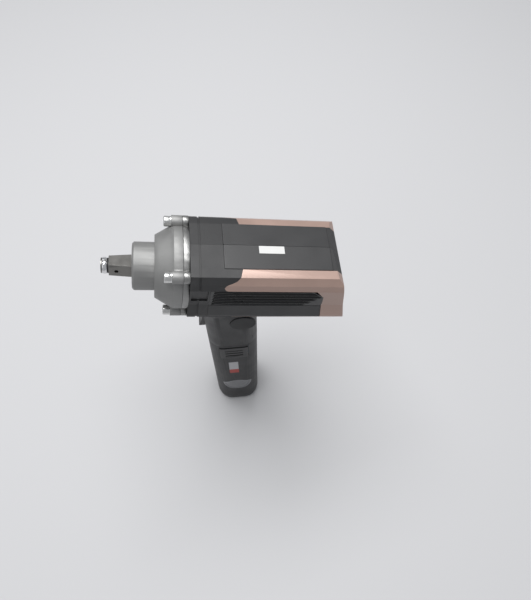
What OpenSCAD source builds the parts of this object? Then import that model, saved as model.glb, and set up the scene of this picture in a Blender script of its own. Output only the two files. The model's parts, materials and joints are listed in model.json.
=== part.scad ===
// Cordless half-inch impact wrench, built as an assembly of separate pieces.
// The head is drawn in its own frame: X runs back from the nose tip along the
// drive axis, Z is up. head() then places it, nose up, on the vertical handle.
// The origin of the whole tool is the centre of the foot's flat bottom.

/* [Overall] */
// Height of the drive axis above the foot, at the handle's centre line
axis_h = 262; // [230:1:300]
// Nose-up tilt of the drive axis when the tool stands on its foot, degrees
head_tilt = 10.4; // [5:0.1:14]
// Distance from the nose tip back to the handle's centre line
handle_x = 99; // [92:1:112]
// Length of the motor housing along the drive axis
body_len = 136; // [128:1:165]
// Half width of the motor housing
body_hw = 34; // [33.6:0.2:42]

/* [Drive] */
// Square drive, across its flats
square_af = 12.7; // [12.7:0.1:15.2]
// Turn of the square about the drive axis at rest, degrees
square_turn = -9; // [-45:1:45]
// Retaining pin hole through the square, radius
pin_hole_r = 1.6; // [1.2:0.1:2]
// Distance of the pin hole from the nose tip
pin_hole_x = 12; // [10:0.5:18]
// Radius of the anvil's journal
journal_r = 9.5; // [8.5:0.1:10.5]
// Outer radius of the friction ring
ring_r = 6.85; // [6.4:0.05:7.2]

/* [Hammer case] */
// Radius of the nose tube
nose_r = 19.5; // [18.5:0.1:22]
// Radius of the case at its flange
case_r = 34.2; // [33:0.1:38]
// Screw pitch, across the square of four case screws
screw_pitch = 52; // [50:0.5:56]
// Case screw shank radius
screw_r = 2.45; // [2:0.05:3]
// Case screw head radius
head_r = 4.25; // [4:0.05:4.5]
// Radius of the round corner bosses
boss_r = 5; // [4.5:0.1:6.5]

/* [Impact mechanism] */
// Hammer radius
hammer_r = 26; // [24:0.1:26.4]
// Hammer back travel along the spindle
hammer_travel = 6; // [5:0.1:6.4]
// Spindle radius
spindle_r = 9; // [8.5:0.1:9.6]
// Cam ball radius
ball_r = 3; // [2.5:0.1:3.2]
// Wire radius of the hammer spring
wire_r = 1.6; // [1.2:0.1:1.9]
// Turns of the hammer spring
spring_turns = 4; // [3:1:5]

/* [Gears] */
// Gear module
gear_m = 0.8; // [0.76:0.01:0.86]
// Teeth of the sun pinion
sun_z = 10; // [10]
// Teeth of each planet gear
planet_z = 20; // [20]
// Width of the gears' faces
gear_w = 8; // [6:0.5:8.5]

/* [Motor] */
// Rotor shaft radius, through the bearings
shaft_r = 4; // [3.6:0.1:4.4]
// Stator outer radius
stator_r = 24; // [22:0.5:26]
// Stator stack length
stack_len = 42; // [36:1:44]
// Bearing outer radius
bearing_r = 9.5; // [9:0.1:10.4]
// Bearing width
bearing_w = 5; // [4:0.5:6]

/* [Shells] */
// Thickness of the housing wall
wall = 3; // [2.4:0.1:3.6]
// Thickness of the panels and covers laid on the housing
skin = 1.8; // [1.4:0.1:2.2]
// How far the top panels stand proud
panel_rise = 0.7; // [0.2:0.1:1.2]
// Half width of the top panels
panel_hw = 21; // [18:0.5:23]

/* [Handle] */
// Handle size, front to back
handle_d = 50; // [46:1:56]
// Handle size, side to side
handle_w = 43; // [40:1:50]
// Corner radius of the handle
handle_cr = 15; // [10:1:19]
// Height of the joint between the grip and the battery pack
pack_top = 146; // [130:1:152]
// Width of the foot, side to side
foot_w = 58; // [52:1:70]
// Trigger travel
trigger_travel = 7; // [5:0.5:8]
// Direction lever travel each way
lever_travel = 3; // [2:0.5:4]
// Travel of the battery latch buttons
latch_travel = 2; // [1:0.5:2.5]

/* [Fits] */
// Radial running clearance of shafts
run = 0.05; // [0.02:0.01:0.09]
// Gap between parts that are laid or set against each other
gap = 0.1; // [0.05:0.01:0.2]

/* [Hidden] */
$fn = 64;

// Stations along the drive axis
ring_x = 1.1;
groove_end = 6;
square_end = 25;
nose_x = 24;
cone_x = 41.4;
cavity_x = 44.6;
case_full_x = 56;
boss_x = 54.2;
split_x = 62.7;
plate_len = 5.1;
body_x = split_x + plate_len + gap;
body_end = body_x + body_len;
jaw_x = 46.1;
jaw_end = 52;
hammer_x = 52.6;
hammer_end = 71;
pocket_x = 60;
carrier_x = 78;
carrier_end = 83.4;
gear_x = 84;
gear_case_end = 97.5;
bearing_x = 94.5;
stack_x = 108;
fan_x = 157;
rear_bearing_x = 168;
shaft_end = 176;
block_end = 80;
side_x = 84;
panel_x = 93.5;
panel_end = 180.3;
cover_x = 94;

// Section of the motor housing
top_z = 32.8;
bottom_z = -34;
shoulder_z = 30;
band_top = 19;
band_mid = -6;
band_low = -22;
shoulder_run = 7;
ledge_in = 1.5;
ledge_out = 0.8;
step_x = 74.5;
step_w = 1.6;

// Gears
sun_r = gear_m * sun_z / 2;
planet_r = gear_m * planet_z / 2;
ring_z = sun_z + 2 * planet_z;
ring_pr = gear_m * ring_z / 2;
centre_r = sun_r + planet_r;
pin_r = 2.5;
case_in = max(hammer_r, ring_pr + 5) + 1.2;
case_out = case_in + 2.3;

// Handle
grip_top = axis_h - 12;
trigger_z = 193;
trigger_h = 42;
trigger_w = 15.4;
trigger_front = 6;
lever_z = 221.5;
switch_h = 34;
latch_z = 131;
inlay_z = 48;

function section(i) = [
    [0, top_z - i], [panel_hw, top_z - 1.4 - i], [panel_hw + shoulder_run - i / 2, shoulder_z - i],
    [body_hw - 1.5 - i, shoulder_z - 5 - i / 2], [body_hw - i, band_top],
    [body_hw - ledge_in - i, band_mid + 1], [body_hw + ledge_out - i, band_low + 3],
    [body_hw + ledge_out - i, band_low], [body_hw - 3 - i, band_low - 6 + i / 3],
    [body_hw - 10 - i / 2, bottom_z + 1 + i], [0, bottom_z + i]];
function flip(p) = [for (k = [len(p) - 2 : -1 : 1]) [-p[k][0], p[k][1]]];
function side_view(i) = [
    [body_x - 1, 60], [body_end - 23.5 - i, 60], [body_end - 23.5 - i, top_z + 2],
    [body_end - 14.5 - i, shoulder_z - 4], [body_end - i, band_low - 3],
    [body_end - 1.5 - i, band_low - 8], [body_end - 8 - i, -60], [body_x - 1, -60]];

module head() {
    translate([0, 0, axis_h]) rotate([0, head_tilt, 0]) translate([-handle_x, 0, 0]) children();
}
module side(s) {
    if (s > 0) children();
    else mirror([0, 1, 0]) children();
}
// A cylinder or a cone along the drive axis
module bar(x0, x1, r0, r1 = undef) {
    translate([x0, 0, 0]) rotate([0, 90, 0]) cylinder(h = x1 - x0, r1 = r0, r2 = is_undef(r1) ? r0 : r1);
}
module tube(x0, x1, outer, inner) {
    difference() {
        bar(x0, x1, outer);
        bar(x0 - 1, x1 + 1, inner);
    }
}
// A block between two corners
module block(a, b) {
    translate(a) cube(b - a);
}
module profile_bar(i, x0, x1) {
    intersection() {
        translate([x0, 0, 0]) rotate([90, 0, 90]) linear_extrude(x1 - x0)
            polygon(concat(section(i), flip(section(i))));
        translate([0, 80, 0]) rotate([90, 0, 0]) linear_extrude(160) polygon(side_view(i));
    }
}
module side_mask(points) {
    rotate([90, 0, 0]) linear_extrude(80) polygon(points);
}
module rounded(d, w, r) {
    square([d - 2 * r, w], center = true);
    square([d, w - 2 * r], center = true);
    for (a = [-1, 1], b = [-1, 1]) translate([a * (d / 2 - r), b * (w / 2 - r)]) circle(r);
}
module at_screws() {
    for (a = [-1, 1], b = [-1, 1]) translate([0, a * screw_pitch / 2, b * screw_pitch / 2]) children();
}

// ---- Square drive -------------------------------------------------------
module anvil() {
    color([0.55, 0.56, 0.57]) head() difference() {
        union() {
            bar(0, ring_x - gap, ring_r - 0.7);
            bar(0.5, groove_end + 0.2, ring_r - 1.85);
            rotate([square_turn, 0, 0]) intersection() {
                translate([groove_end, -square_af / 2, -square_af / 2])
                    cube([square_end - groove_end, square_af, square_af]);
                bar(groove_end, square_end, square_af * 0.62, square_af * 0.72);
            }
            bar(square_end - 1, jaw_x, journal_r);
            bar(jaw_x, jaw_end, journal_r + 1.5);
            intersection() {
                block([jaw_x, -20, -5], [jaw_end, 20, 5]);
                bar(jaw_x, jaw_end, 19.5);
            }
        }
        rotate([square_turn, 0, 0]) translate([pin_hole_x, 20, 0]) rotate([90, 0, 0])
            cylinder(h = 40, r = pin_hole_r);
        bar(jaw_end - 7, jaw_end + 1, spindle_r - 4 + run);
    }
}
module friction_ring() {
    color([0.8, 0.8, 0.8]) head() difference() {
        union() {
            bar(ring_x, ring_x + 1.5, ring_r - 0.45, ring_r);
            bar(ring_x + 1.5, ring_x + 2.1, ring_r - 0.3);
            bar(ring_x + 2.1, ring_x + 3.6, ring_r, ring_r - 0.45);
        }
        bar(0, groove_end, ring_r - 1.7);
        block([0, -0.6, 0], [groove_end, 0.6, 10]);
    }
}
module anvil_oring() {
    color([0.08, 0.08, 0.08]) head() translate([groove_end - 0.65, 0, 0]) rotate([0, 90, 0])
        rotate_extrude() translate([ring_r - 1.2, 0]) circle(r = 0.5, $fn = 20);
}

// ---- Hammer case --------------------------------------------------------
module flange(x0, x1) {
    bar(x0, x1, case_r);
    block([x0, -screw_pitch / 2, -screw_pitch / 2], [x1, screw_pitch / 2, screw_pitch / 2]);
    at_screws() bar(x0, x1, boss_r);
}
module hammer_case() {
    color([0.6, 0.6, 0.6]) head() difference() {
        union() {
            bar(nose_x, nose_x + 1.5, nose_r - 1.5, nose_r);
            bar(nose_x + 1.5, cone_x, nose_r);
            bar(cone_x, case_full_x, case_r - 8.8, case_r);
            flange(boss_x + 1.5, split_x);
            at_screws() bar(boss_x, split_x, boss_r);
        }
        bar(nose_x - 1, nose_x + 4.5, journal_r + 4.5);
        bar(nose_x, cavity_x + 1, journal_r + 3);
        bar(cavity_x, cavity_x + 1.5, 22, 22.5);
        bar(cavity_x + 1.5, cavity_x + 6.5, 22.5, case_in + 0.8);
        bar(cavity_x + 6.5, split_x + 1, case_in + 0.8);
        at_screws() bar(boss_x - 1, split_x + 1, screw_r + 0.15);
        at_screws() bar(boss_x - 8, boss_x, head_r + 0.15);
    }
}
module front_seal() {
    color([0.1, 0.1, 0.1]) head() tube(nose_x + 0.6, nose_x + 4.4, journal_r + 4.45, journal_r + gap);
}
module anvil_bushing() {
    color([0.72, 0.5, 0.25]) head() tube(nose_x + 4.7, cavity_x - 0.1, journal_r + 2.95, journal_r + run);
}
module thrust_washer() {
    color([0.65, 0.65, 0.62]) head() tube(cavity_x + 0.1, jaw_x - 0.1, journal_r + 7.5, journal_r + 0.2);
}
module case_screws() {
    color([0.78, 0.78, 0.78]) head() at_screws() difference() {
        union() {
            bar(boss_x - 6, boss_x - 5.4, head_r - 0.45, head_r);
            bar(boss_x - 5.4, boss_x - 1.25, head_r);
            bar(boss_x - 1.3, boss_x + 22, screw_r);
        }
        translate([boss_x - 7, 0, 0]) rotate([0, 90, 0]) cylinder(h = 4, r = 2.3, $fn = 6);
    }
}
module spring_washers() {
    color([0.7, 0.7, 0.7]) head() at_screws() difference() {
        tube(boss_x - 1.2, boss_x - 0.05, head_r - 0.05, screw_r + 0.15);
        rotate([20, 0, 0]) block([boss_x - 3, -0.4, 0], [boss_x + 2, 0.4, 6]);
    }
}
module clamp_plate() {
    color([0.5, 0.5, 0.51]) head() difference() {
        flange(split_x + gap, split_x + plate_len);
        bar(split_x - 1, body_x + 1, case_out + 0.2);
        at_screws() bar(split_x - 1, body_x + 1, screw_r + 0.15);
    }
}

// ---- Impact mechanism ---------------------------------------------------
module at_balls() {
    for (a = [0, 180]) rotate([a, 0, 0]) translate([66, spindle_r, 0]) children();
}
module hammer() {
    color([0.45, 0.45, 0.46]) head() difference() {
        union() {
            bar(hammer_x, hammer_x + 2, hammer_r - 1.5, hammer_r);
            bar(hammer_x + 2, hammer_end, hammer_r);
            bar(jaw_x + 1.3, hammer_x + 0.1, 19.5);
        }
        bar(jaw_x, hammer_x, journal_r + 1.9);
        block([jaw_x, -30, -5.3], [hammer_x, 30, 5.3]);
        bar(jaw_x, hammer_end + 1, spindle_r + run);
        tube(pocket_x, hammer_end + 1, 20, 12.6);
        at_balls() {
            bar(-hammer_travel - 0.6, 0.3, ball_r + 0.15);
            for (x = [-hammer_travel - 0.6, 0.3]) translate([x, 0, 0]) sphere(ball_r + 0.15);
        }
    }
}
// Points of a coil spring, swept along the drive axis
function coil_ring(t, n) = let (a = 360 * spring_turns * t, r = 16.3,
        x = pocket_x + wire_r + 0.15 + (carrier_x - pocket_x - 2 * wire_r - 0.3) * t)
    [for (k = [0 : n - 1]) [x + wire_r * sin(360 * k / n),
        (r + wire_r * cos(360 * k / n)) * cos(a), (r + wire_r * cos(360 * k / n)) * sin(a)]];
module hammer_spring() {
    n = 8;
    m = 20 * spring_turns;
    points = [for (i = [0 : m]) each coil_ring(i / m, n)];
    faces = concat([[for (k = [0 : n - 1]) k]], [[for (k = [n - 1 : -1 : 0]) m * n + k]],
        [for (i = [0 : m - 1], k = [0 : n - 1])
            [i * n + k, (i + 1) * n + k, (i + 1) * n + (k + 1) % n, i * n + (k + 1) % n]]);
    color([0.35, 0.36, 0.38]) head() polyhedron(points = points, faces = faces, convexity = 10);
}
module cam_balls() {
    color([0.85, 0.85, 0.85]) head() at_balls() sphere(ball_r);
}
module at_planets() {
    for (k = [0 : 2]) rotate([120 * k, 0, 0]) translate([0, 0, -centre_r]) children();
}
module spindle() {
    color([0.58, 0.58, 0.6]) head() difference() {
        union() {
            bar(jaw_end - 6.6, hammer_x, spindle_r - 4);
            bar(jaw_end + 0.2, carrier_x + 0.5, spindle_r);
            bar(carrier_x, carrier_end, centre_r + 6.5);
        }
        at_balls() sphere(ball_r + 0.15);
        at_planets() bar(carrier_x - 1, carrier_end + 1, pin_r + gap / 5);
        bar(carrier_x + 1, carrier_end + 1, sun_r + 1.5);
    }
}
module planet_pins() {
    color([0.8, 0.8, 0.8]) head() at_planets() bar(carrier_x + 0.2, gear_x + gear_w + 0.6, pin_r);
}
// A toothed outline: r is the pitch radius, out is +1 for outer teeth, -1 for a ring
module teeth(z, r, out) {
    add = out > 0 ? 0.8 * gear_m : -0.8 * gear_m;
    ded = out > 0 ? -1.25 * gear_m : 1.35 * gear_m;
    q = 90 / z;
    flank = [[-1.3, ded], [-0.72, 0], [-0.4, add], [0.4, add], [0.72, 0], [1.3, ded]];
    polygon([for (k = [0 : z - 1], p = flank)
        let (a = 360 * k / z + p[0] * q) [(r + p[1]) * cos(a), (r + p[1]) * sin(a)]]);
}
module planet_gear(k) {
    color([0.66, 0.64, 0.6]) head() rotate([120 * k, 0, 0]) translate([gear_x, 0, -centre_r])
        rotate([-120 * k, 0, 0]) rotate([0, 90, 0]) difference() {
            rotate([0, 0, 180 / planet_z]) linear_extrude(gear_w) teeth(planet_z, planet_r, 1);
            translate([0, 0, -1]) cylinder(h = gear_w + 2, r = pin_r + run);
        }
}
module ring_gear() {
    color([0.5, 0.5, 0.5]) head() translate([gear_x - 0.2, 0, 0]) rotate([0, 90, 0]) difference() {
        cylinder(h = gear_w + 1.4, r = case_in - gap / 2);
        translate([0, 0, -1]) linear_extrude(gear_w + 4) teeth(ring_z, ring_pr, -1);
    }
}
module gear_case() {
    color([0.55, 0.56, 0.58]) head() difference() {
        union() {
            bar(split_x + 0.2, gear_case_end, case_out);
            bar(gear_case_end - 1, bearing_x + bearing_w + 1, bearing_r + 2.5);
        }
        bar(split_x - 1, bearing_x - 0.5, case_in);
        bar(bearing_x - 1, bearing_x + bearing_w + 0.1, bearing_r + gap / 4);
        bar(bearing_x, bearing_x + bearing_w + 3, shaft_r + 2);
    }
}

// ---- Motor --------------------------------------------------------------
module bearing(x) {
    difference() {
        tube(x, x + bearing_w, bearing_r, shaft_r + gap / 5);
        for (e = [x - 1, x + bearing_w - 0.4]) tube(e, e + 1.4, bearing_r - 1.6, shaft_r + 1.6);
    }
}
module front_bearing() {
    color([0.75, 0.75, 0.76]) head() bearing(bearing_x);
}
module rear_bearing() {
    color([0.75, 0.75, 0.76]) head() bearing(rear_bearing_x);
}
module rotor_shaft() {
    color([0.7, 0.7, 0.72]) head() {
        translate([gear_x, 0, 0]) rotate([0, 90, 0]) linear_extrude(gear_w + 0.6)
            teeth(sun_z, sun_r, 1);
        bar(gear_x + gear_w + 0.5, shaft_end, shaft_r);
    }
}
module rotor_core() {
    color([0.4, 0.4, 0.42]) head() tube(stack_x, stack_x + stack_len, stator_r / 2, shaft_r + gap / 5);
}
module stator() {
    color([0.35, 0.36, 0.38]) head() difference() {
        tube(stack_x, stack_x + stack_len, stator_r, stator_r / 2 + 0.5);
        for (a = [30 : 60 : 330]) rotate([a, 0, 0])
            block([stack_x - 1, -2, stator_r / 2], [stack_x + stack_len + 1, 2, stator_r - 4]);
    }
}
module coils() {
    color([0.72, 0.38, 0.16]) head()
        for (x = [stack_x - 4.5, stack_x + stack_len]) tube(x, x + 4.5, stator_r - 2.5, stator_r / 2 + 1.2);
}
module fan() {
    color([0.12, 0.12, 0.12]) head() difference() {
        union() {
            bar(fan_x, fan_x + 1.6, stator_r - 2);
            bar(fan_x, fan_x + 8, shaft_r + 3);
            for (a = [0 : 30 : 330]) rotate([a, 0, 0])
                block([fan_x, -0.6, shaft_r + 2], [fan_x + 7, 0.6, stator_r - 3]);
        }
        bar(fan_x - 1, fan_x + 9, shaft_r + gap / 5);
    }
}

// ---- Housing ------------------------------------------------------------
module handle_column(i, z0, z1) {
    translate([0, 0, z0]) linear_extrude(z1 - z0)
        rounded(handle_d - 2 * i, handle_w - 2 * i, handle_cr - i);
}
module screw_places() {
    head() for (x = [132, 180]) translate([x, 0, bottom_z + 4.4]) rotate([90, 0, 0]) children();
    for (z = [160, 215]) translate([handle_d / 2 - 6.5, 0, z]) rotate([90, 0, 0]) children();
}
// Side-view outline of a side cover, or the same outline grown by g at its front
function cover_outline(g) = [
    [cover_x + 14 - g, 60], [cover_x + 14 - g, shoulder_z + 1.5], [cover_x + 9 - g, shoulder_z - 2.5],
    [cover_x + 1.5 - g, band_top + 6], [cover_x - g, band_top + 3.5], [cover_x + 1 - g, band_top + 1.2],
    [cover_x + 3 - g, band_top + gap], [body_end - 35, band_top + gap], [body_end - 28, band_top - 9],
    [body_end - 22, band_low - gap], [cover_x + 11 - g, band_low - gap], [cover_x + 11 - g, band_low - 6 - g],
    [body_end + 4, band_low - 6 - g], [body_end + 4, 60]];
// What the covers, inserts and top panels stand on is sunk by their thickness
module covered_side() {
    difference() {
        side_mask(cover_outline(gap));
        block([side_x, -panel_hw, -60], [body_end + 9, 1, 60]);
    }
    side_mask([[side_x, band_top + gap], [side_x, band_low - gap], [body_end - 20, band_low - gap],
        [body_end - 30, band_top + gap]]);
}
module housing_outer() {
    head() difference() {
        profile_bar(0, body_x, body_end + 1);
        difference() {
            union() {
                covered_side();
                side(-1) covered_side();
                block([panel_x, -panel_hw, 0], [panel_end, panel_hw, 60]);
            }
            profile_bar(skin + gap, body_x, body_end + 1);
        }
    }
    handle_column(0, pack_top + 0.3, grip_top);
}
module housing_inner() {
    difference() {
        housing_cavity();
        screw_places() cylinder(h = 100, r = 4, center = true);
    }
}
module housing_cavity() {
    head() {
        difference() {
            profile_bar(skin + wall, block_end, body_end - wall - 1);
            for (x = [stack_x + 5, stack_x + stack_len - 8]) difference() {
                profile_bar(skin, x, x + 3);
                bar(x - 1, x + 4, stator_r + gap);
            }
            difference() {
                profile_bar(skin, rear_bearing_x - 1, rear_bearing_x + bearing_w + 1);
                bar(rear_bearing_x - 2, rear_bearing_x + bearing_w + 0.1, bearing_r + gap / 4);
                bar(rear_bearing_x, rear_bearing_x + bearing_w + 3, shaft_r + 2);
            }
        }
        bar(body_x - 1, gear_case_end + 0.3, case_out + 0.2);
    }
    difference() {
        handle_column(wall, pack_top - 1, grip_top + 1);
        for (s = [-1, 1]) side(s) block([-9, -handle_w, trigger_z - 8], [9, -9.2, trigger_z + 8]);
    }
}
module housing_half() {
    difference() {
        intersection() {
            housing_outer();
            block([-200, -100, 0], [300, -gap / 2, 500]);
        }
        housing_inner();
        head() at_screws() bar(body_x - 1, boss_x + 23, screw_r + 0.15);
        block([-handle_d, -trigger_w / 2 - 0.3, trigger_z - trigger_h / 2 - 0.3],
            [-handle_d / 2 + wall + 2, 1, trigger_z + trigger_h / 2 + 0.3]);
        screw_places() translate([0, 0, -60]) cylinder(h = 78, r = 1.5 + gap / 2);
        head() difference() {
            profile_bar(-1, step_x, step_x + step_w);
            profile_bar(0.7, step_x - 1, step_x + step_w + 1);
        }
        head() difference() {
            side_mask([[body_x + 1.6, 13], [body_x + 8, 18], [side_x - 1.6, 18], [side_x - 1.6, 2],
                [body_x + 1.6, 2]]);
            profile_bar(1.2, body_x - 1, side_x);
        }
        block([-14.3, -handle_w, lever_z - 3.8], [-3.7, 1, lever_z + 3.8]);
        translate([-handle_d / 2 - 5, 0, lever_z + 0.5]) rotate([0, 90, 0]) cylinder(h = 10, r = 3.6);
        translate([11, -handle_w / 2 - 1, 197]) rotate([-90, 0, 0]) cylinder(h = 2.2, r = 12);
    }
}
module housing_left() {
    color([0.16, 0.16, 0.17]) housing_half();
}
module housing_right() {
    color([0.16, 0.16, 0.17]) difference() {
        side(-1) housing_half();
        screw_places() translate([0, 0, -60]) cylinder(h = 42.5, r = 3);
    }
}
// A skin laid on the housing's left side, kept to the given side-view outline
module side_skin(points) {
    difference() {
        intersection() {
            profile_bar(0, side_x, body_end + 1);
            side_mask(points);
        }
        profile_bar(skin, side_x - 1, body_end + 2);
    }
}
module top_panel() {
    head() difference() {
        intersection() {
            profile_bar(-panel_rise, panel_x + gap, panel_end - gap);
            block([panel_x, -panel_hw, 0], [panel_end, -gap / 2, 60]);
        }
        profile_bar(skin, panel_x - 1, panel_end + 20);
    }
}
module top_panel_left() {
    color([0.2, 0.2, 0.21]) top_panel();
}
module top_panel_right() {
    color([0.2, 0.2, 0.21]) side(-1) top_panel();
}
module side_cover() {
    head() difference() {
        side_skin(cover_outline(0));
        block([side_x, -panel_hw - gap, -60], [body_end + 9, 1, 60]);
    }
}
module side_cover_left() {
    color([0.72, 0.52, 0.47]) side_cover();
}
module side_cover_right() {
    color([0.72, 0.52, 0.47]) side(-1) side_cover();
}
module ribbed_insert() {
    head() difference() {
        side_skin([[side_x + gap, band_top - gap], [body_end - 35.2, band_top - gap],
            [body_end - 28.2, band_top - 9.2], [body_end - 25.2, band_mid],
            [side_x + gap, band_mid]]);
        for (k = [0 : 6])
            block([side_x + 4, -body_hw - 1, band_top - 3.6 - 3.2 * k],
                [body_end - 34, -body_hw + 0.7, band_top - 2.2 - 3.2 * k]);
    }
}
module ribbed_insert_left() {
    color([0.07, 0.07, 0.08]) ribbed_insert();
}
module ribbed_insert_right() {
    color([0.07, 0.07, 0.08]) side(-1) ribbed_insert();
}
module side_strip() {
    head() side_skin([[side_x + gap, band_mid - gap], [body_end - 25.3, band_mid - gap],
        [body_end - 22.3, band_low], [side_x + gap, band_low]]);
}
module side_strip_left() {
    color([0.24, 0.24, 0.25]) side_strip();
}
module side_strip_right() {
    color([0.24, 0.24, 0.25]) side(-1) side_strip();
}
module side_cap() {
    translate([11, -handle_w / 2 - 0.8, 197]) rotate([-90, 0, 0]) cylinder(h = 1.9, r = 11.8);
}
module side_cap_left() {
    color([0.12, 0.12, 0.12]) side_cap();
}
module side_cap_right() {
    color([0.12, 0.12, 0.12]) side(-1) side_cap();
}
module housing_screws() {
    color([0.3, 0.3, 0.31]) screw_places() {
        translate([0, 0, -20]) cylinder(h = 37, r = 1.5);
        translate([0, 0, -20.2]) difference() {
            cylinder(h = 2.6, r = 2.8);
            translate([0, 0, -1]) cylinder(h = 2.6, r = 1.3, $fn = 6);
        }
    }
}

// ---- Handle pieces ------------------------------------------------------
module trigger() {
    front = -handle_d / 2 - trigger_front;
    color([0.09, 0.09, 0.09]) difference() {
        union() {
            block([front, -trigger_w / 2, trigger_z - trigger_h / 2],
                [-handle_d / 2 + 5, trigger_w / 2, trigger_z + trigger_h / 2]);
            translate([-handle_d / 2 + 4, 0, trigger_z]) rotate([0, 90, 0]) cylinder(h = 12.5, r = 2.4);
        }
        translate([front - 36, 20, trigger_z - 2]) rotate([90, 0, 0]) cylinder(h = 40, r = 40);
    }
}
module switch_body() {
    x0 = -handle_d / 2 + 5 + trigger_travel + 0.5;
    color([0.15, 0.15, 0.16]) difference() {
        block([x0, -9, trigger_z - switch_h / 2], [x0 + 24.5, 9, trigger_z + switch_h / 2]);
        translate([x0 - 1, 0, trigger_z]) rotate([0, 90, 0]) cylinder(h = 13, r = 2.4 + run);
    }
}
module direction_lever() {
    color([0.3, 0.3, 0.31]) difference() {
        block([-14, -handle_w / 2 - lever_travel - 0.5, lever_z - 3.5],
            [-4, handle_w / 2 + lever_travel + 0.5, lever_z + 3.5]);
        translate([-9, -10, lever_z - 4]) cylinder(h = 8, r = 2);
    }
}
module led_lens() {
    color([0.9, 0.92, 0.95]) translate([-handle_d / 2 - 1, 0, lever_z + 0.5]) rotate([0, 90, 0]) {
        cylinder(h = 5, r = 3.5);
        translate([0, 0, -0.8]) cylinder(h = 0.8, r1 = 2.8, r2 = 3.5);
    }
}
module control_board() {
    color([0.1, 0.3, 0.18]) union() {
        block([14, -handle_w / 2 + wall + 1.7, 166], [15.6, handle_w / 2 - wall - 1.7, 208]);
        for (z = [172, 182, 192]) block([12.8, -10, z], [14, -4, z + 7]);
        block([12.6, 3, 176], [14, 11, 184]);
        translate([12.4, 6, 198]) rotate([0, 90, 0]) cylinder(h = 1.7, r = 3);
    }
}
module blades(grow) {
    for (x = [-9, 9])
        block([x - 0.5 - grow, -4 - grow, pack_top - 11.7], [x + 0.5 + grow, 4 + grow, pack_top + 7]);
}
module terminal_block() {
    inset = wall + 0.2;
    color([0.2, 0.2, 0.2]) difference() {
        translate([0, 0, pack_top + 0.6]) linear_extrude(7.4)
            rounded(handle_d - 2 * inset, handle_w - 2 * inset, handle_cr - inset);
        blades(0.15);
        translate([0, -handle_w / 4, pack_top - 1]) cylinder(h = 10, r = 1.5);
    }
}

// ---- Battery pack -------------------------------------------------------
foot_d = handle_d - 2;
base_h = 12;
// The pack's outer form, or the same form drawn in by i
module pack_form(i) {
    hull() {
        translate([0, 0, pack_top - 0.2]) linear_extrude(0.2)
            rounded(handle_d - 2 * i, handle_w - 2 * i, handle_cr - i, $fn = 32);
        translate([0, 0, base_h + 0.1]) linear_extrude(0.2)
            rounded(foot_d - 2 * i, foot_w - 2 * i, handle_cr + 2 - i, $fn = 32);
    }
}
module battery_shell() {
    color([0.17, 0.17, 0.18]) difference() {
        pack_form(0);
        intersection() {
            pack_form(2.2);
            block([-60, -60, 0], [60, 60, pack_top - 3]);
        }
        blades(0.1);
        for (s = [-1, 1]) side(s) block([-14.9, -handle_w, latch_z - 11.4], [14.9, -10, latch_z + 11.4]);
        difference() {
            for (s = [-1, 1]) side(s) inlay_outline(0.1);
            pack_form(0.9);
        }
    }
}
module battery_base() {
    color([0.15, 0.15, 0.16]) difference() {
        hull() {
            translate([0, 0, base_h - 0.2]) linear_extrude(0.2)
                rounded(foot_d, foot_w, handle_cr + 2, $fn = 32);
            translate([0, 0, 3]) linear_extrude(0.2) rounded(foot_d - 2, foot_w - 2, handle_cr + 1, $fn = 32);
            linear_extrude(0.2) rounded(foot_d - 7, foot_w - 7, handle_cr, $fn = 32);
        }
        translate([0, 0, 3]) linear_extrude(base_h) rounded(foot_d - 5, foot_w - 5, handle_cr, $fn = 32);
    }
}
module battery_cells() {
    color([0.15, 0.45, 0.6]) for (a = [-1, 1], b = [-1, 1], k = [0, 1])
        translate([a * 9.4, b * 9.4, 3.3 + 65.5 * k]) cylinder(h = 65, r = 9.2);
}
module battery_terminals() {
    color([0.8, 0.65, 0.3]) blades(0);
}
module battery_latch() {
    difference() {
        intersection() {
            pack_form(-0.8);
            block([-14.6, -handle_w, latch_z - 11], [14.6, -10, latch_z + 11]);
        }
        pack_form(3.2 - latch_travel);
        for (z = [-5, 0, 5])
            block([-9, -handle_w, latch_z + z - 0.7], [9, -handle_w / 2 - 0.9, latch_z + z + 0.7]);
    }
}
module battery_latch_left() {
    color([0.13, 0.13, 0.13]) battery_latch();
}
module battery_latch_right() {
    color([0.13, 0.13, 0.13]) side(-1) battery_latch();
}
// A lens outline standing through the pack's left side
module inlay_outline(grow) {
    intersection() {
        translate([0, -15, inlay_z - 14.2]) rotate([90, 0, 0]) cylinder(h = 40, r = 21 + grow, $fn = 96);
        translate([0, -15, inlay_z + 14.2]) rotate([90, 0, 0]) cylinder(h = 40, r = 21 + grow, $fn = 96);
    }
}
module foot_inlay() {
    difference() {
        intersection() {
            pack_form(-0.2);
            inlay_outline(0);
        }
        pack_form(0.8);
    }
}
module foot_inlay_left() {
    color([0.35, 0.35, 0.37]) foot_inlay();
}
module foot_inlay_right() {
    color([0.35, 0.35, 0.37]) side(-1) foot_inlay();
}

anvil();
friction_ring();
anvil_oring();
hammer_case();
front_seal();
anvil_bushing();
thrust_washer();
case_screws();
spring_washers();
clamp_plate();
hammer();
hammer_spring();
cam_balls();
spindle();
planet_pins();
planet_gear(0);  // planet_gear_1
planet_gear(1);  // planet_gear_2
planet_gear(2);  // planet_gear_3
ring_gear();
gear_case();
front_bearing();
rotor_shaft();
rotor_core();
stator();
coils();
fan();
rear_bearing();
housing_left();
housing_right();
top_panel_left();
top_panel_right();
side_cover_left();
side_cover_right();
ribbed_insert_left();
ribbed_insert_right();
side_strip_left();
side_strip_right();
side_cap_left();
side_cap_right();
housing_screws();
trigger();
switch_body();
direction_lever();
led_lens();
control_board();
terminal_block();
battery_shell();
battery_base();
battery_cells();
battery_terminals();
battery_latch_left();
battery_latch_right();
foot_inlay_left();
foot_inlay_right();
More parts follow.
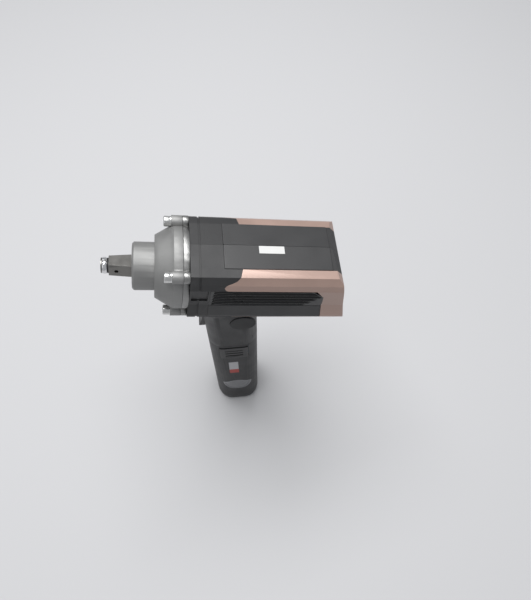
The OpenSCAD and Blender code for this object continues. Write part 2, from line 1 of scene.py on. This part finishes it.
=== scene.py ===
"""The impact wrench's look: materials, moulded detail, light and camera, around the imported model."""
import json
import math

import bpy
from mathutils import Matrix, Vector


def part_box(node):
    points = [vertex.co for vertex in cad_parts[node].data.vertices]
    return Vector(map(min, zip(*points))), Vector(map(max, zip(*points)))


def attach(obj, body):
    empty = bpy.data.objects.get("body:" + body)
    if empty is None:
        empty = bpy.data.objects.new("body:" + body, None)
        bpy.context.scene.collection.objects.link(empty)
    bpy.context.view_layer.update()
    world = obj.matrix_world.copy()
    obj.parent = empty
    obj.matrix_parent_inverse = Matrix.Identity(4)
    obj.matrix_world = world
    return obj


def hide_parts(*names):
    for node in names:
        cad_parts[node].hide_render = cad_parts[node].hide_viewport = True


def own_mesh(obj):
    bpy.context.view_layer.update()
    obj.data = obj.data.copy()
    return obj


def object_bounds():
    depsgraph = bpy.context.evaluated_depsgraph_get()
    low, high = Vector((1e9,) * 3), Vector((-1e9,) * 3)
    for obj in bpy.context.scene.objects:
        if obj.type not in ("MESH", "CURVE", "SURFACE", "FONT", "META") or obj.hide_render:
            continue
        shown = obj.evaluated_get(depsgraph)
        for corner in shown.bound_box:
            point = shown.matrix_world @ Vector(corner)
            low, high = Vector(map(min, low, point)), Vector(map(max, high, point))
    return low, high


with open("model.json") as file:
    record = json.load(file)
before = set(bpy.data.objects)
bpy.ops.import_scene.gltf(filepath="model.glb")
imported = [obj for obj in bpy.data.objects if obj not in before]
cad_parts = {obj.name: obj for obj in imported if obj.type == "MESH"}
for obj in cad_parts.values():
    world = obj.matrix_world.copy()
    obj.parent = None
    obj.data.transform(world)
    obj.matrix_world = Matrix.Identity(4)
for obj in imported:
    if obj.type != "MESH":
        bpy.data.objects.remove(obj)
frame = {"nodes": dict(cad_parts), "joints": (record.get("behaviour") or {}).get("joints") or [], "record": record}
cad_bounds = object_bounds()
nodes = frame["nodes"]
MM = 0.001

# ---- The head's own frame: X back along the drive axis, Z up ---------------
joint = {j["name"]: j for j in frame["joints"]}
drive_axis = Vector(joint["spindle_spin"]["axis"])
head_up = drive_axis.cross(Vector((0, 1, 0)))
# How far behind the nose tip the spindle joint stands
SPINDLE_X = 80 * MM
head_origin = Vector(joint["spindle_spin"]["pos_m"]) - drive_axis * SPINDLE_X
HEAD = Matrix((
    (drive_axis.x, 0, head_up.x, head_origin.x),
    (0, 1, 0, 0),
    (drive_axis.z, 0, head_up.z, head_origin.z),
    (0, 0, 0, 1)))


# ---- Materials -------------------------------------------------------------
def new_material(name):
    mat = bpy.data.materials.new(name)
    mat.use_nodes = True
    return mat, mat.node_tree, mat.node_tree.nodes["Principled BSDF"]


def noise(tree, coords, scale, detail=3.0, roughness=0.5, stretch=(1, 1, 1)):
    """A noise texture in object coordinates; scale is in cycles per metre."""
    mapping = tree.nodes.new("ShaderNodeMapping")
    mapping.inputs["Scale"].default_value = stretch
    tree.links.new(coords.outputs["Object"], mapping.inputs["Vector"])
    tex = tree.nodes.new("ShaderNodeTexNoise")
    tex.inputs["Scale"].default_value = scale
    tex.inputs["Detail"].default_value = detail
    tex.inputs["Roughness"].default_value = roughness
    tree.links.new(mapping.outputs["Vector"], tex.inputs["Vector"])
    return tex


def ramp(tree, source, low, high, out_low, out_high):
    node = tree.nodes.new("ShaderNodeMapRange")
    for key, value in (("From Min", low), ("From Max", high), ("To Min", out_low), ("To Max", out_high)):
        node.inputs[key].default_value = value
    tree.links.new(source, node.inputs["Value"])
    return node.outputs["Result"]


def mix_color(tree, factor, a, b):
    node = tree.nodes.new("ShaderNodeMix")
    node.data_type = "RGBA"
    for socket, value in ((node.inputs[6], a), (node.inputs[7], b)):
        if isinstance(value, bpy.types.NodeSocket):
            tree.links.new(value, socket)
        else:
            socket.default_value = value
    tree.links.new(factor, node.inputs[0])
    return node.outputs[2]


def shade(color, factor):
    return (color[0] * factor, color[1] * factor, color[2] * factor, 1.0)


# Where a material reads the surface as an edge, and as a fully worn one
EDGE_START = 0.52
EDGE_FULL = 0.60


def finish(name, color, rough, metallic=0.0, grain=2500.0, bump=0.04, vary=0.12, wear=0.25,
           stretch=(1, 1, 1), coat=0.0, spots=60.0):
    """A moulded or metal finish: colour drift, fine grain, uneven gloss and lighter worn edges."""
    mat, tree, bsdf = new_material(name)
    coords = tree.nodes.new("ShaderNodeTexCoord")
    broad = noise(tree, coords, spots, 4.0)
    fine = noise(tree, coords, grain, 2.0, 0.6, stretch)
    base = mix_color(tree, ramp(tree, broad.outputs["Fac"], 0.3, 0.7, 0, 1),
                     shade(color, 1 - vary), shade(color, 1 + vary))
    geometry = tree.nodes.new("ShaderNodeNewGeometry")
    edge = ramp(tree, geometry.outputs["Pointiness"], EDGE_START, EDGE_FULL, 0.0, wear)
    lighter = tuple(min(1.0, c * 1.5 + 0.06) for c in color) + (1.0,)
    tree.links.new(mix_color(tree, edge, base, lighter), bsdf.inputs["Base Color"])
    tree.links.new(ramp(tree, broad.outputs["Fac"], 0.3, 0.7, rough - 0.06, rough + 0.06),
                   bsdf.inputs["Roughness"])
    bsdf.inputs["Metallic"].default_value = metallic
    bsdf.inputs["Coat Weight"].default_value = coat
    bsdf.inputs["Coat Roughness"].default_value = 0.15
    bumps = tree.nodes.new("ShaderNodeBump")
    bumps.inputs["Strength"].default_value = bump * 5
    bumps.inputs["Distance"].default_value = 0.0001
    tree.links.new(fine.outputs["Fac"], bumps.inputs["Height"])
    tree.links.new(bumps.outputs["Normal"], bsdf.inputs["Normal"])
    return mat


MATERIALS = {
    "forged_steel": finish("forged_steel", (0.20, 0.195, 0.185), 0.30, 1.0, 1500, 0.05, 0.10, 0.3,
                           stretch=(0.2, 1, 1)),
    "chrome_steel": finish("chrome_steel", (0.75, 0.75, 0.76), 0.18, 1.0, 2200, 0.02, 0.06),
    "cast_case": finish("cast_case", (0.27, 0.27, 0.266), 0.58, 0.75, 3200, 0.16, 0.08, 0.35),
    "plate_metal": finish("plate_metal", (0.27, 0.27, 0.265), 0.38, 0.95, 3200, 0.12, 0.08, 0.35),
    "black_rubber": finish("black_rubber", (0.022, 0.022, 0.023), 0.7, 0.0, 3000, 0.06),
    "bronze": finish("bronze", (0.60, 0.38, 0.17), 0.45, 1.0, 2500, 0.05),
    "screw_steel": finish("screw_steel", (0.66, 0.66, 0.65), 0.28, 1.0, 2400, 0.03, 0.08),
    "gear_steel": finish("gear_steel", (0.33, 0.33, 0.34), 0.36, 1.0, 2400, 0.05),
    "magnet_core": finish("magnet_core", (0.20, 0.20, 0.21), 0.45, 0.9, 1800, 0.06, stretch=(8, 1, 1)),
    "copper_wire": finish("copper_wire", (0.62, 0.27, 0.10), 0.35, 0.9, 900, 0.3, 0.2),
    "dark_plastic": finish("dark_plastic", (0.017, 0.017, 0.018), 0.50, 0.0, 2600, 0.10, 0.10, 0.10),
    "black_plastic": finish("black_plastic", (0.005, 0.005, 0.006), 0.32, 0.0, 2600, 0.06, 0.10, 0.08),
    "grey_plastic": finish("grey_plastic", (0.024, 0.024, 0.025), 0.44, 0.0, 2600, 0.07, 0.08, 0.10),
    "rose_cover": finish("rose_cover", (0.38, 0.265, 0.224), 0.42, 0.45, 3000, 0.05, 0.05, 0.2, coat=0.2),
    "board": finish("board", (0.02, 0.12, 0.05), 0.4, 0.0, 1200, 0.05),
    "lens": finish("lens", (0.75, 0.78, 0.80), 0.12, 0.0, 1500, 0.02, 0.04, coat=0.6),
    "cell_wrap": finish("cell_wrap", (0.05, 0.20, 0.30), 0.3, 0.0, 900, 0.03),
    "contact_metal": finish("contact_metal", (0.70, 0.52, 0.20), 0.25, 1.0, 1500, 0.03),
    "inlay_gloss": finish("inlay_gloss", (0.055, 0.058, 0.066), 0.16, 0.0, 1500, 0.02, 0.05, coat=0.8),
    "inlay_rim": finish("inlay_rim", (0.20, 0.20, 0.21), 0.34, 0.2, 1500, 0.02, 0.05),
}


def set_material(obj, slot):
    if obj.material_slots:
        for place in obj.material_slots:
            place.link = "OBJECT"
            place.material = MATERIALS[slot]
    else:
        obj.data.materials.append(MATERIALS[slot])


for part in frame["record"]["subparts"]:
    set_material(nodes[part["node"]], part["material_slot"])


# ---- Small rounded edges on the carried-over parts --------------------------
ROUNDED = {
    "housing_left": 0.5, "housing_right": 0.5, "top_panel_left": 0.5, "top_panel_right": 0.5,
    "side_cover_left": 0.6, "side_cover_right": 0.6, "side_strip_left": 0.4, "side_strip_right": 0.4,
    "hammer_case": 0.5, "clamp_plate": 0.4, "anvil": 0.35, "trigger": 2.8, "direction_lever": 0.8,
    "battery_latch_left": 0.4, "battery_latch_right": 0.4, "case_screws": 0.2, "friction_ring": 0.1,
    "side_cap_left": 0.9, "side_cap_right": 0.9, "battery_base": 0.4, "battery_shell": 0.3,
}


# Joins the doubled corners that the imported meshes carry, in metres
WELD_DISTANCE = 1e-6
BEVEL_ANGLE = math.radians(28)


def round_edges(obj, radius_mm):
    weld = obj.modifiers.new("weld", "WELD")
    weld.merge_threshold = WELD_DISTANCE
    bevel = obj.modifiers.new("edge", "BEVEL")
    bevel.width = radius_mm * MM
    bevel.segments = 2
    bevel.limit_method = "ANGLE"
    bevel.angle_limit = BEVEL_ANGLE
    bevel.use_clamp_overlap = True
    bevel.harden_normals = True


for part, radius in ROUNDED.items():
    round_edges(nodes[part], radius)


# ---- Ribbed side inserts ----------------------------------------------------
def smooth(a, b, t):
    k = min(1.0, max(0.0, (t - a) / (b - a)))
    return k * k * (3 - 2 * k)


def head_box(node):
    """Lowest and highest corner of a CAD node in the head's frame."""
    back = HEAD.inverted()
    points = [back @ v.co for v in nodes[node].data.vertices]
    return [Vector([pick(p[i] for p in points) for i in range(3)]) for pick in (min, max)]


def closed_sheet(name, front, back):
    """A closed mesh between two grids of places with the same rows and columns."""
    rows, cols = len(front), len(front[0])
    points = [p for grid in (front, back) for row in grid for p in row]
    half = rows * cols
    faces = []
    for i in range(rows - 1):
        for j in range(cols - 1):
            a, b, c, d = i * cols + j, i * cols + j + 1, (i + 1) * cols + j + 1, (i + 1) * cols + j
            faces.append((a, b, c, d))
            faces.append((half + d, half + c, half + b, half + a))
    rim = list(range(cols))
    rim += [i * cols + cols - 1 for i in range(1, rows)]
    rim += [(rows - 1) * cols + j for j in range(cols - 2, -1, -1)]
    rim += [i * cols for i in range(rows - 2, 0, -1)]
    for a, b in zip(rim, rim[1:] + rim[:1]):
        faces.append((b, a, half + a, half + b))
    mesh = bpy.data.meshes.new(name)
    mesh.from_pydata(points, [], faces)
    mesh.update()
    obj = bpy.data.objects.new(name, mesh)
    bpy.context.scene.collection.objects.link(obj)
    return obj


RIB_PITCH = 4.9 * MM
RIB_DEPTH = 1.35 * MM
RIB_FAN = 5 * MM
FAN_REACH = 6 * MM
INSERT_ROWS = 110
INSERT_COLS = 130
INSERT_SKIN = 1.78 * MM
INSERT_LEAN = 1.5 * MM
# The upper rear corner is cut off over this share of the height
CORNER_SHARE = 0.36
CORNER_CUT = 10 * MM
REAR_SLANT = 3 * MM
FACET_WIDTH = 15 * MM
SHARP_ANGLE = math.radians(50)


def rib_depth(x, z, low, high, last):
    """How deep the surface lies: louvre steps that fan out at the front and stop at a slanted facet."""
    fan = RIB_FAN * math.exp(-(x - low.x) / FAN_REACH)
    phase = ((high.z - 1.5 * MM - z - fan) / RIB_PITCH) % 1.0
    step = smooth(0.0, 0.82, phase) * (1 - smooth(0.86, 1.0, phase))
    ends = smooth(low.x + 1.5 * MM, low.x + 4 * MM, x) * (1 - smooth(last - 1.5 * MM, last, x))
    edges = smooth(low.z, low.z + 1.6 * MM, z) * (1 - smooth(high.z - 1.6 * MM, high.z, z))
    return RIB_DEPTH * step * ends * edges


def make_ribbed_insert(side, sign):
    """A louvred cover whose face leans in towards the bottom; sign is -1 on the left, near side."""
    node = "ribbed_insert_" + side
    low, high = head_box(node)
    outer = max(abs(low.y), abs(high.y))
    front, back = [], []
    for i in range(INSERT_ROWS):
        t = i / (INSERT_ROWS - 1)
        z = high.z + (low.z - high.z) * t
        end = high.x - CORNER_CUT * max(0.0, 1 - t / CORNER_SHARE) - REAR_SLANT * (1 - smooth(0, 1, t))
        facet = end - FACET_WIDTH * max(0.0, t - CORNER_SHARE) / (1 - CORNER_SHARE) - 1 * MM
        face = outer - INSERT_LEAN * min(1.0, t / 0.97)
        front.append([])
        back.append([])
        for j in range(INSERT_COLS):
            x = low.x + (end - low.x) * j / (INSERT_COLS - 1)
            depth = rib_depth(x, z, low, high, facet)
            front[-1].append(HEAD @ Vector((x, sign * (face - depth), z)))
            back[-1].append(HEAD @ Vector((x, sign * (face - INSERT_SKIN), z)))
    if sign > 0:
        front, back = back, front
    obj = closed_sheet("ribbed_cover_" + side, front, back)
    obj.data.materials.append(MATERIALS["black_plastic"])
    obj.data.shade_smooth()
    obj.data.set_sharp_from_angle(angle=SHARP_ANGLE)
    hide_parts(node)
    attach(obj, "housing")


make_ribbed_insert("left", -1)
make_ribbed_insert("right", 1)


# ---- Hammer spring -------------------------------------------------------------
def make_coil_spring():
    """The spring between spindle and hammer, a copy of the CAD spring carried on the spindle."""
    node = "hammer_spring"
    low, high = head_box(node)
    obj = bpy.data.objects.new("coil_spring", nodes[node].data.copy())
    bpy.context.scene.collection.objects.link(obj)
    set_material(obj, "gear_steel")
    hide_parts(node)
    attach(obj, "spindle")
    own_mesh(obj)


make_coil_spring()


# ---- Blank labels -------------------------------------------------------------
LABEL_CUTS = 12
BAND_SHARE = 0.3


def make_label(name, body, corners, thick, color, band=None):
    """A thin blank sticker on four corners given counter-clockwise from outside, with a band at its foot."""
    a, b, c, d = (Vector(p) for p in corners)
    normal = (b - a).cross(d - a).normalized()
    front, back = [], []
    for i in range(LABEL_CUTS + 1):
        shares = [j / LABEL_CUTS for j in range(LABEL_CUTS + 1)]
        row = [a.lerp(b, u).lerp(d.lerp(c, u), i / LABEL_CUTS) for u in shares]
        front.append([p + normal * thick for p in row])
        back.append([p - normal * thick for p in row])
    obj = closed_sheet(name, front, back)
    obj.data.materials.append(finish(name, color, 0.55, 0.0, 900, 0.02, 0.04, 0.0))
    if band:
        obj.data.materials.append(finish(name + "_band", band, 0.55, 0.0, 900, 0.02, 0.04, 0.0))
        for poly in obj.data.polygons:
            where = (poly.center - a).dot((d - a).normalized()) / (d - a).length
            if where < BAND_SHARE:
                poly.material_index = 1
    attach(obj, body)
    return obj


def on_head(x, y, z):
    """A place given in the head's frame, in millimetres."""
    return HEAD @ Vector((x * MM, y * MM, z * MM))


# The top sticker lies on the near panel, up against the seam, and follows the panel's slope; all in mm
TOP_LABEL_FRONT = 121.5
TOP_LABEL_REAR = 142
TOP_LABEL_NEAR = -7.2
TOP_LABEL_SEAM = -0.6
top_z = head_box("top_panel_left")[1].z / MM
near_z = top_z - 0.43
seam_z = top_z + 0.01
make_label("top_label", "housing",
           [on_head(x, y, z) for x, y, z in (
               (TOP_LABEL_FRONT, TOP_LABEL_NEAR, near_z), (TOP_LABEL_REAR, TOP_LABEL_NEAR, near_z),
               (TOP_LABEL_REAR, TOP_LABEL_SEAM, seam_z), (TOP_LABEL_FRONT, TOP_LABEL_SEAM, seam_z))],
           0.06 * MM, (0.60, 0.60, 0.59))

shell_low, shell_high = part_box("battery_shell")
# The pack's rounded outline at its top and at its foot, in mm
PACK_TOP = {"depth": 50, "width": 43, "radius": 15}
PACK_FOOT = {"depth": 48, "width": 58, "radius": 17}


def pack_face(x, z, proud, sign=-1):
    """A place on the pack's rounded side, which leans out towards the foot, in millimetres."""
    t = (shell_high[2] - z * MM) / (shell_high[2] - shell_low[2])
    depth, width, radius = (
        PACK_TOP[k] + (PACK_FOOT[k] - PACK_TOP[k]) * t for k in ("depth", "width", "radius"))
    into_corner = max(0.0, abs(x) - (depth / 2 - radius))
    half = width / 2 - radius + math.sqrt(max(0.0, radius ** 2 - into_corner ** 2))
    return Vector((x * MM, sign * (half + proud) * MM, z * MM))


# The pack sticker's front, rear, lower and upper edges, in mm
FRONT, REAR, LOWER, UPPER = -7, 3, 81, 108
make_label("pack_label", "battery",
           [pack_face(x, z, 0.0) for x, z in ((FRONT, LOWER), (REAR, LOWER), (REAR, UPPER), (FRONT, UPPER))],
           0.12 * MM, (0.40, 0.40, 0.41), band=(0.35, 0.05, 0.04))


# ---- Glossy lens inlays -------------------------------------------------------
# Each ring of the inlay, from the back: its share of the outline, and how proud it stands in mm
INLAY_RINGS = ((1.0, -0.5), (1.0, 0.2), (0.975, 0.36), (0.93, 0.36), (0.90, 0.16), (0.7, 0.18), (0.45, 0.2),
               (0.2, 0.21))
# The faces between the first rings are the light rim
RIM_RINGS = 5
# The arch above the widest line, the belly below it, and how far that line lies above the CAD lens's, in mm
INLAY_RISE = 6.0
INLAY_BELLY = 17.5
INLAY_LIFT = 5.5
INLAY_MARGIN = 0.7
INLAY_STEPS = 64


def inlay_outline(half_width):
    """The lens as (x, z) steps from its widest line: a shallow arch above and a full belly below."""
    points = []
    for i in range(INLAY_STEPS):
        angle = 2 * math.pi * i / INLAY_STEPS
        u = math.cos(angle)
        rise = INLAY_RISE * (1 - u * u) if math.sin(angle) > 0 else -INLAY_BELLY * math.sqrt(1 - u * u)
        points.append((half_width * u, rise))
    return points


def make_inlay(side, sign):
    """A dark glossy lens in a light raised rim; sign is -1 on the left."""
    node = "foot_inlay_" + side
    low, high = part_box(node)
    outline = inlay_outline((high[0] - low[0]) / 2 / MM + INLAY_MARGIN)
    wide_z = (low[2] + high[2]) / 2 / MM + INLAY_LIFT
    mid = (INLAY_RISE - INLAY_BELLY) / 2
    points = [pack_face(x * share, wide_z + mid + (z - mid) * share, proud, sign)
              for share, proud in INLAY_RINGS for x, z in outline]
    faces = [tuple(range(INLAY_STEPS))]
    for ring in range(len(INLAY_RINGS) - 1):
        for i in range(INLAY_STEPS):
            a, b = ring * INLAY_STEPS + i, ring * INLAY_STEPS + (i + 1) % INLAY_STEPS
            faces.append((a, a + INLAY_STEPS, b + INLAY_STEPS, b))
    last = (len(INLAY_RINGS) - 1) * INLAY_STEPS
    faces.append(tuple(last + i for i in reversed(range(INLAY_STEPS))))
    if sign > 0:
        faces = [tuple(reversed(f)) for f in faces]
    mesh = bpy.data.meshes.new("lens_inlay_" + side)
    mesh.from_pydata(points, [], faces)
    mesh.materials.append(MATERIALS["inlay_gloss"])
    mesh.materials.append(MATERIALS["inlay_rim"])
    for poly in mesh.polygons:
        poly.material_index = 1 if max(poly.vertices) < RIM_RINGS * INLAY_STEPS else 0
    mesh.update()
    mesh.shade_smooth()
    mesh.set_sharp_from_angle(angle=SHARP_ANGLE)
    obj = bpy.data.objects.new("lens_inlay_" + side, mesh)
    bpy.context.scene.collection.objects.link(obj)
    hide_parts(node)
    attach(obj, "battery")


make_inlay("left", -1)
make_inlay("right", 1)


# ---- Stage, light and camera -----------------------------------------------
def area_light(name, energy, size, place, target):
    data = bpy.data.lights.new(name, "AREA")
    data.energy = energy
    data.size = size
    lamp = bpy.data.objects.new(name, data)
    lamp.location = place
    lamp.rotation_euler = (Vector(target) - Vector(place)).to_track_quat("-Z", "Y").to_euler()
    bpy.context.scene.collection.objects.link(lamp)


FLOOR_SIZE = 6.0
# Just under the foot, so that the two faces do not flicker
FLOOR_DROP = 0.0002
LIGHT_TARGET = (0, 0, 0.2)


def make_stage():
    mesh = bpy.data.meshes.new("floor")
    h = FLOOR_SIZE / 2
    mesh.from_pydata([(-h, -h, 0), (h, -h, 0), (h, h, 0), (-h, h, 0)], [], [(0, 1, 2, 3)])
    floor = bpy.data.objects.new("floor", mesh)
    floor.location.z = cad_bounds[0][2] - FLOOR_DROP
    bpy.context.scene.collection.objects.link(floor)
    mat, _, bsdf = new_material("floor")
    bsdf.inputs["Base Color"].default_value = (0.54, 0.54, 0.55, 1)
    bsdf.inputs["Roughness"].default_value = 0.75
    mesh.materials.append(mat)
    area_light("key", 35, 1.3, (-0.1, 0.35, 1.8), LIGHT_TARGET)
    area_light("fill", 2.5, 1.4, (-1.4, -0.9, 1.3), LIGHT_TARGET)
    world = bpy.data.worlds.new("studio")
    world.use_nodes = True
    world.node_tree.nodes["Background"].inputs["Color"].default_value = (0.95, 0.97, 1.0, 1)
    world.node_tree.nodes["Background"].inputs["Strength"].default_value = 0.42
    bpy.context.scene.world = world
    bpy.context.scene.view_settings.view_transform = "Standard"


# Azimuth, elevation and roll in degrees, place in mm, and lens and sensor width in mm
CAMERA_ANGLES = (-6.13, 61.98, 0.73)
CAMERA_PLACE = (8.8, -235.2, 642.9)
CAMERA_LENS = 32.18
CAMERA_SENSOR = 36


def make_camera():
    """The view from above the near side, looking steeply down on the tool."""
    azimuth, elevation, roll = (math.radians(a) for a in CAMERA_ANGLES)
    back = Vector((math.sin(azimuth) * math.cos(elevation),
                   -math.cos(azimuth) * math.cos(elevation), math.sin(elevation)))
    right = Vector((math.cos(azimuth), math.sin(azimuth), 0))
    up = back.cross(right)
    side = right * math.cos(roll) + up * math.sin(roll)
    top = up * math.cos(roll) - right * math.sin(roll)
    data = bpy.data.cameras.new("camera")
    data.lens = CAMERA_LENS
    data.sensor_width = CAMERA_SENSOR
    camera = bpy.data.objects.new("camera", data)
    place = Vector(CAMERA_PLACE) * MM
    camera.matrix_world = Matrix((
        (side.x, top.x, back.x, place.x), (side.y, top.y, back.y, place.y),
        (side.z, top.z, back.z, place.z), (0, 0, 0, 1)))
    bpy.context.scene.collection.objects.link(camera)
    bpy.context.scene.camera = camera


make_stage()
make_camera()
